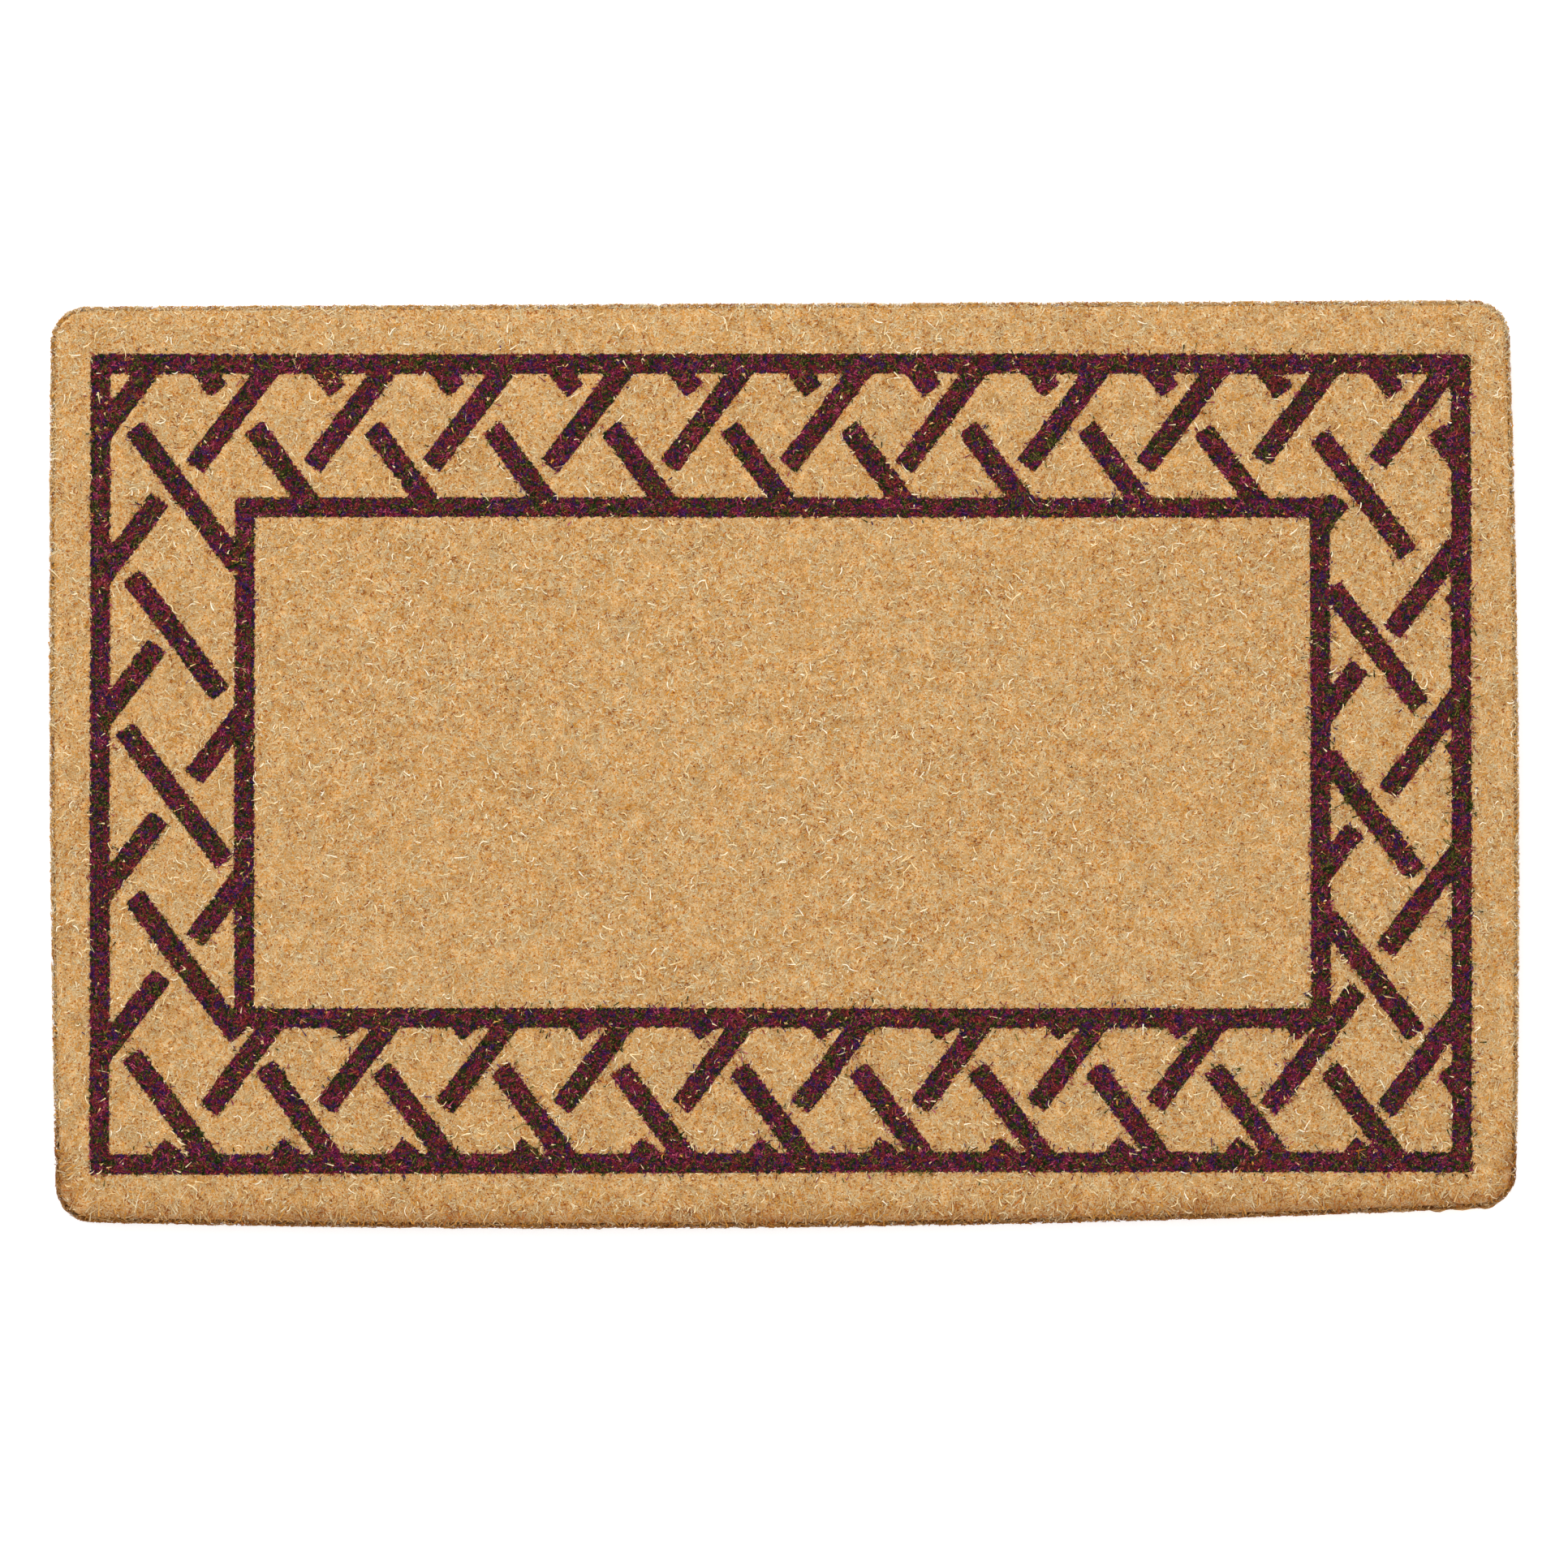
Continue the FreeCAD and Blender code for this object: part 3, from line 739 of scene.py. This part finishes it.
def make_core():
    """One closed piece under the fibre ends, down into the weave, with the dye in its top."""
    nx, ny = int(2 * HALF_X / CORE_STEP), int(2 * HALF_Y / CORE_STEP)
    u = np.linspace(-1, 1, nx)
    v = np.linspace(-1, 1, ny)
    x, y = np.meshgrid(u * (HALF_X - CORE_INSET), v * (HALF_Y - CORE_INSET), indexing="ij")
    flat = bowed(np.stack([x.ravel(), y.ravel()], axis=1))
    distance, out = edge_distance(flat)
    flat = flat + out * np.minimum(distance - CORE_INSET, 0)[:, None]
    top = surface_height(flat) - CORE_DEPTH + rng.normal(0, CORE_BUMPS, len(flat))
    count = nx * ny
    upper = np.column_stack([flat, top])
    lower = np.column_stack([flat, np.full(count, PILE_FOOT - 1 * MM)])
    rim, wall = rim_wall(nx, ny, count)
    fan = np.stack([np.full(len(rim) - 2, rim[0]), rim[2:], rim[1:-1]], axis=1) + count
    used = np.concatenate([np.arange(count), rim + count])
    renumber = np.full(2 * count, -1)
    renumber[used] = np.arange(len(used))
    verts = np.concatenate([upper, lower])[used]
    faces = renumber[np.concatenate([grid_triangles(nx, ny), wall, fan])]
    core = mesh_object("packed_lower_pile", verts, faces, packed_material("packed_coir"))
    dye = core.data.attributes.new("dye", "FLOAT", "POINT")
    share = np.where(verts[:, 2] > TOP - DYE_DEPTH, dye_share(verts[:, :2], CORE_STEP / 3), 0.0)
    dye.data.foreach_set("value", share.astype(np.float32))
    belongs(core)


# ---------------------------------------------------------------------------------------------
# The woven backing: weft shots over and under the chain, cords at its edges, and the braid round it.

CHAIN_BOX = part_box("chain_yarns")
WEFT_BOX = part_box("weft_yarns_lower")
CHAIN_Z = (CHAIN_BOX[0][2] + CHAIN_BOX[1][2]) / 2
CHAIN_PITCH = 12 * MM
CHAIN_COUNT = 41
CHAIN_WIDTH = 6.2 * MM
WEFT_PITCH = 8 * MM
WEFT_COUNT = 105
WEFT_WIDTH = 6.4 * MM
HEADING_CORDS = 3
SELVEDGES = ("selvedge_cord_front", "selvedge_cord_back")
# The whole weave, from heading to heading and from selvedge to selvedge.
WEAVE_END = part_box("heading_right")[1][0]
WEAVE_X = (-WEAVE_END, WEAVE_END)
WEAVE_Y = (WEFT_BOX[0][1], WEFT_BOX[1][1])
# The length in which a yarn's plies go round once.
WEFT_LAY = 14 * MM
CHAIN_LAY = 18 * MM
SELVEDGE_LAY = 22 * MM
HEADING_LAY = 24 * MM
BRAID_LAY = 20 * MM
TWINE_LAY = 5 * MM
ROUND = 10  # points round a yarn
BRAID_BOW = 0.4  # how much of the outline's bow the braid follows


def yarn_tubes(lines, wide, high, lay, rough=0.05, side=None):
    """Closed two-ply yarns along lines (yarn, step, xyz): a flattened section whose two plies wind
    round each other once in each lay. Also each point's place in its strand, for the material."""
    count, steps, _ = lines.shape
    along = unit(np.gradient(lines, axis=1))
    if side is None:
        side = unit(np.cross(along, [0.0, 0.0, 1.0]))
    up = np.cross(side, along)
    s = np.concatenate([np.zeros((count, 1)), np.cumsum(
        np.linalg.norm(np.diff(lines, axis=1), axis=2), axis=1)], axis=1)
    turn = 2 * math.pi * s / lay + rng.uniform(0, 2 * math.pi, (count, 1))
    rings = []
    for k in range(ROUND):
        angle = 2 * math.pi * k / ROUND
        reach = 0.84 + 0.16 * np.cos(2 * (angle - turn / 2)) + rng.normal(0, rough, (count, steps))
        across_by = (reach * math.cos(angle) * wide / 2)[..., None] * side
        rise = (reach * math.sin(angle) * high / 2)[..., None] * up
        rings.append(lines + across_by + rise)
    verts = np.stack(rings, axis=2).reshape(count, steps * ROUND, 3)
    around_by = 2 * math.pi * np.arange(ROUND) / ROUND
    slant = around_by[None, None] - turn[..., None] / 2
    strand = np.stack([np.broadcast_to(s[..., None], slant.shape) + np.arange(count)[:, None, None],
                       np.cos(slant) * wide / 2, np.sin(slant) * wide / 2], axis=3).reshape(-1, 3)
    k = np.arange(ROUND)
    after = (k + 1) % ROUND
    ring = np.concatenate([np.stack([k, k + ROUND, after + ROUND], axis=1),
                           np.stack([k, after + ROUND, after], axis=1)])
    tube = (ring[None] + (np.arange(steps - 1) * ROUND)[:, None, None]).reshape(-1, 3)
    inner = np.arange(1, ROUND - 1)
    start = np.stack([np.zeros_like(inner), inner, inner + 1], axis=1)
    end = start[:, ::-1] + (steps - 1) * ROUND
    tris = np.concatenate([tube, start, end])
    faces = tris[None] + (np.arange(count) * steps * ROUND)[:, None, None]
    return verts.reshape(-1, 3), faces.reshape(-1, 3), strand


def yarn_piece(name, lines, wide, high, lay, mat, slot, nodes, **how):
    """One piece of yarns, flattened where they would reach below the floor."""
    verts, faces, strand = yarn_tubes(lines, wide, high, lay, **how)
    verts[:, 2] = np.maximum(verts[:, 2], FLOOR)
    piece = mesh_object(name, verts, faces, mat)
    place = piece.data.attributes.new("strand", "FLOAT_VECTOR", "POINT")
    place.data.foreach_set("vector", strand.astype(np.float32).ravel())
    belongs(piece, nodes)


def yarn_material(name, stops):
    """Spun coir: fibres that run along the yarn and wind round it, in a few browns."""
    mat, nodes, links, shader, place = material(name, 0.85, 0.15)
    strand = nodes.new("ShaderNodeAttribute")
    strand.attribute_name = "strand"
    drawn = nodes.new("ShaderNodeVectorMath")
    drawn.operation = "MULTIPLY"
    drawn.inputs[1].default_value = (120.0, 1500.0, 1500.0)
    links.new(strand.outputs["Vector"], drawn.inputs[0])
    fibres = noise(nodes, links, drawn.outputs[0], 1.0, 3.0)
    own = map_range(nodes, links, place.outputs["Random Per Island"], 0.0, 1.0, 0.88, 1.1)
    broad = noise(nodes, links, place.outputs["Position"], 60.0, 3.0)
    patches = map_range(nodes, links, broad, 0.3, 0.7, 0.86, 1.08)
    colour = ramp(nodes, links, fibres, stops)
    links.new(scaled_colour(nodes, links, colour, own, patches), shader.inputs["Base Color"])
    links.new(map_range(nodes, links, fibres, 0.3, 0.7, 0.95, 0.75), shader.inputs["Roughness"])
    links.new(bump(nodes, links, fibres, 1.2 * MM, 0.8), shader.inputs["Normal"])
    return mat


YARN = yarn_material("coir_yarn", [
    (0.34, (110, 66, 30)), (0.46, (166, 114, 60)), (0.56, (196, 148, 90)), (0.68, (224, 188, 134))])
BRAID = yarn_material("coir_braid", [
    (0.34, (124, 76, 34)), (0.46, (182, 130, 72)), (0.56, (208, 162, 102)), (0.68, (232, 200, 146))])
TWINE = yarn_material("sewing_twine", [
    (0.36, (122, 90, 56)), (0.5, (176, 142, 100)), (0.64, (206, 178, 136))])


def make_weft():
    """A shot of weft on each side of each tuft row, over the chain where the next goes under."""
    low, high = WEAVE_Y
    thick = WEFT_BOX[1][2] - WEFT_BOX[0][2]
    steps = int((high - low) / (CHAIN_PITCH / 4.2))
    y = np.linspace(low, high, steps)
    middle = (low + high) / 2
    rise = CHAIN_Z - FLOOR - thick / 2
    for parity, name, node in ((0, "weft_shots_odd", "weft_yarns_lower"),
                               (1, "weft_shots_even", "weft_yarns_upper")):
        number = np.arange(parity, WEFT_COUNT, 2)
        x = (number - (WEFT_COUNT - 1) / 2) * WEFT_PITCH
        wander = rng.normal(0, 0.25 * MM, (len(x), steps)) + rng.normal(0, 0.4 * MM, (len(x), 1))
        wave = np.cos(math.pi * (y - middle) / CHAIN_PITCH) * (1 if parity else -1)
        z = CHAIN_Z + np.where(np.abs(wave) > CLOSE, np.sign(wave) * np.abs(wave) ** 0.8, 0) * rise
        lines = np.stack([x[:, None] + wander, np.broadcast_to(y, wander.shape),
                          np.broadcast_to(z, wander.shape)], axis=2)
        yarn_piece(name, lines, WEFT_WIDTH, thick, WEFT_LAY, YARN, "coir_yarn", [node])


def make_chain():
    """The long yarns that the weft goes round, and a thicker cord at each long edge."""
    low, high = CHAIN_BOX[0][0], CHAIN_BOX[1][0]
    steps = int((high - low) / (2.6 * MM))
    x = np.linspace(low, high, steps)
    y = (np.arange(CHAIN_COUNT) - (CHAIN_COUNT - 1) / 2) * CHAIN_PITCH
    thick = CHAIN_BOX[1][2] - CHAIN_BOX[0][2]
    wander = (rng.normal(0, 0.15 * MM, (CHAIN_COUNT, steps))
              + rng.normal(0, 0.3 * MM, (CHAIN_COUNT, 1)))
    lines = np.stack([np.broadcast_to(x, wander.shape), y[:, None] + wander,
                      np.full(wander.shape, CHAIN_Z)], axis=2)
    half = CHAIN_COUNT // 2
    for side, some in (("front", lines[:half]), ("back", lines[half:])):
        yarn_piece(f"chain_strands_{side}", some, CHAIN_WIDTH, thick * 1.1, CHAIN_LAY, YARN,
                   "coir_yarn", ["chain_yarns"])
    for node in SELVEDGES:
        (x0, y0, z0), (x1, y1, z1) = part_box(node)
        x = np.linspace(x0, x1, steps)
        line = np.stack([x, np.full(steps, (y0 + y1) / 2), np.full(steps, (z0 + z1) / 2)], axis=1)
        yarn_piece(f"{node}_strands", line[None], y1 - y0, (z1 - z0) * 1.3, SELVEDGE_LAY, YARN,
                   "coir_yarn", [node])


def make_headings():
    """Twined cords that lock the short ends of the weave."""
    for node in ("heading_left", "heading_right"):
        (x0, y0, z0), (x1, y1, z1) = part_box(node)
        pitch = (x1 - x0) / HEADING_CORDS
        steps = int((y1 - y0) / (2 * MM))
        shape = (HEADING_CORDS, steps)
        y = np.linspace(y0, y1, steps)
        x = x0 + pitch * (np.arange(HEADING_CORDS) + 0.5)
        lines = np.stack([np.broadcast_to(x[:, None], shape), np.broadcast_to(y, shape),
                          np.full(shape, (z0 + z1) / 2)], axis=2)
        yarn_piece(f"{node}_cords", lines, pitch * 1.1, z1 - z0, HEADING_LAY, YARN, "coir_yarn",
                   [node])


def make_braid():
    """Three flat strands plaited all the way round, under the outermost tufts."""
    waves = 2 * round(PERIMETER / (2 * 54 * MM))
    steps = int(PERIMETER / (2.2 * MM))
    t = np.linspace(0, PERIMETER, steps)
    nodes = [f"braid_{side}" for side in ("back", "front", "left", "right")]
    wide, high = 9.0 * MM, 4.0 * MM
    sway = BRAID_WIDTH / 2 - wide / 2 - 0.8 * MM
    lift = (PILE_FOOT - FLOOR - high) / 2
    for strand in range(3):
        phase = 2 * math.pi * (waves * t / PERIMETER + strand / 3)
        points, _ = around(t, BRAID_WIDTH / 2 + 1.5 * MM + sway * np.cos(phase), BRAID_BOW)
        z = (FLOOR + PILE_FOOT) / 2 + lift * np.sin(2 * phase)
        line = np.column_stack([points, z])
        yarn_piece(f"braid_strand_{strand + 1}", line[None], wide, high, BRAID_LAY, BRAID,
                   "coir_braid", nodes, rough=0.04)


def make_stitches():
    """Twine whipped round the braid and the weave's edge, one slanting stitch every 25 mm."""
    count = round(PERIMETER / (25 * MM))
    start = np.arange(count) * PERIMETER / count
    outer, inner, slant = 15 * MM, 30 * MM, 6 * MM
    low, turn, deep = FLOOR + 1.0 * MM, 2.4 * MM, FLOOR + 4.5 * MM
    shares = np.array([0.0, 0.02, 0.1, 0.3, 0.5, 0.7, 0.9, 0.98, 1.0])
    drop = np.array([deep, turn, low, low, low, low, low, turn, deep])
    points = np.stack([around(start + share * slant, outer + (inner - outer) * np.full(count, share),
                              BRAID_BOW)[0] for share in shares], axis=1)
    lines = np.concatenate([points, np.broadcast_to(drop, (count, len(drop)))[..., None]], axis=2)
    run = unit(lines[:, -1] - lines[:, 0])
    side = np.stack([-run[:, 1], run[:, 0], np.zeros(count)], axis=1)
    yarn_piece("sewing_stitches", lines, 2 * MM, 2 * MM, TWINE_LAY, TWINE, "twine",
               ["sewing_twine"], side=np.broadcast_to(side[:, None], lines.shape))


def make_root_sheet():
    """The matted bed of tuft roots between the yarns: one sheet over the whole weave."""
    (x0, x1), (y0, y1) = WEAVE_X, WEAVE_Y
    step, thick = 4 * MM, 1.4 * MM
    nx, ny = int((x1 - x0) / step), int((y1 - y0) / step)
    x, y = np.meshgrid(np.linspace(x0, x1, nx), np.linspace(y0, y1, ny), indexing="ij")
    flat = np.stack([x.ravel(), y.ravel()], axis=1)
    count = nx * ny
    under = CHAIN_Z + 1.1 * MM + rng.normal(0, 0.35 * MM, count)
    verts = np.concatenate([np.column_stack([flat, under + thick]), np.column_stack([flat, under])])
    upper = grid_triangles(nx, ny)
    _, wall = rim_wall(nx, ny, count)
    faces = np.concatenate([upper, upper[:, ::-1] + count, wall])
    sheet = mesh_object("tuft_root_sheet", verts, faces, packed_material("matted_tuft_roots"))
    belongs(sheet)


def make_underside_fibres(count):
    """Ends that stick out of the weave and lie flat under the mat."""
    (x0, x1), (y0, y1) = WEAVE_X, WEAVE_Y
    roots = np.stack([rng.uniform(x0, x1, count), rng.uniform(y0, y1, count)], axis=1)
    heading = rng.uniform(0, 2 * math.pi, count)
    length = rng.gamma(3.0, 1.4, count) * MM
    tips = roots + np.stack([np.cos(heading), np.sin(heading)], axis=1) * length[:, None]
    tips = np.clip(tips, [x0, y0], [x1, y1])
    paths = np.stack([np.column_stack([roots, CHAIN_Z + rng.uniform(-1, 1.5, count) * MM]),
                      np.column_stack([tips, FLOOR + rng.uniform(0.3, 3.0, count) * MM])], axis=1)
    radii = rng.uniform(0.16, 0.3, count) * MM
    fibre_pieces("underside_fibres", paths, radii, LOOSE, [])


# How many are sown, before those that fall outside the undyed pile are left out.
LOOSE_FIBRES = 8_000
PITH_FLECKS = 22_000
UNDERSIDE_FIBRES = 20_000

make_core()
make_pile()
make_wall()
make_lying("loose_fibres", LOOSE_FIBRES, (4 * MM, 10 * MM), (0.3 * MM, 0.5 * MM), LOOSE)
make_lying("pith_flecks", PITH_FLECKS, (1.2 * MM, 3.2 * MM), (0.38 * MM, 0.62 * MM), PITH)
make_weft()
make_chain()
make_headings()
make_braid()
make_stitches()
make_root_sheet()
make_underside_fibres(UNDERSIDE_FIBRES)

# ---------------------------------------------------------------------------------------------
# Floor, light and camera.


def make_floor():
    """A white floor just under the mat."""
    bpy.ops.mesh.primitive_plane_add(size=1)
    floor = bpy.context.object
    floor.name = "studio_floor"
    floor.scale = (12, 12, 1)
    floor.location = (0, 0, FLOOR - 0.2 * MM)
    mat, _, _, shader, _ = material("studio_floor", 0.9, 0.25)
    shader.inputs["Base Color"].default_value = (0.92, 0.92, 0.92, 1)
    shader.inputs["Emission Color"].default_value = (1, 1, 1, 1)
    shader.inputs["Emission Strength"].default_value = 0.4
    floor.data.materials.append(mat)


def area_light(name, location, size, power):
    """A square light that faces the mat."""
    data = bpy.data.lights.new(name, "AREA")
    data.shape = "SQUARE"
    data.size = size
    data.energy = power
    light = bpy.data.objects.new(name, data)
    light.location = location
    light.rotation_euler = (-Vector(location)).to_track_quat("-Z", "Y").to_euler()
    bpy.context.scene.collection.objects.link(light)


def make_light():
    """An even white surround, a key light from the back left and a weak fill from the front."""
    world = bpy.data.worlds.new("studio")
    world.use_nodes = True
    world.node_tree.nodes["Background"].inputs["Color"].default_value = (1, 1, 1, 1)
    world.node_tree.nodes["Background"].inputs["Strength"].default_value = 0.96
    bpy.context.scene.world = world
    area_light("key", (-0.5, 1.9, 2.6), 1.6, 36)
    area_light("fill", (0.6, -1.6, 3.0), 2.5, 13.5)


def make_camera():
    """From far off, almost straight above."""
    elevation = math.radians(85)
    distance = 20.0
    target = Vector((0, -17.2 * MM, TOP))
    back = Vector((0, -math.cos(elevation), math.sin(elevation)))
    data = bpy.data.cameras.new("camera")
    data.sensor_width = 36
    seen = 0.977
    data.lens = data.sensor_width * distance / seen
    camera = bpy.data.objects.new("camera", data)
    camera.location = target + back * distance
    camera.rotation_euler = (target - camera.location).to_track_quat("-Z", "Y").to_euler()
    bpy.context.scene.collection.objects.link(camera)
    bpy.context.scene.camera = camera


make_floor()
make_light()
make_camera()
bpy.context.scene.view_settings.view_transform = "Standard"
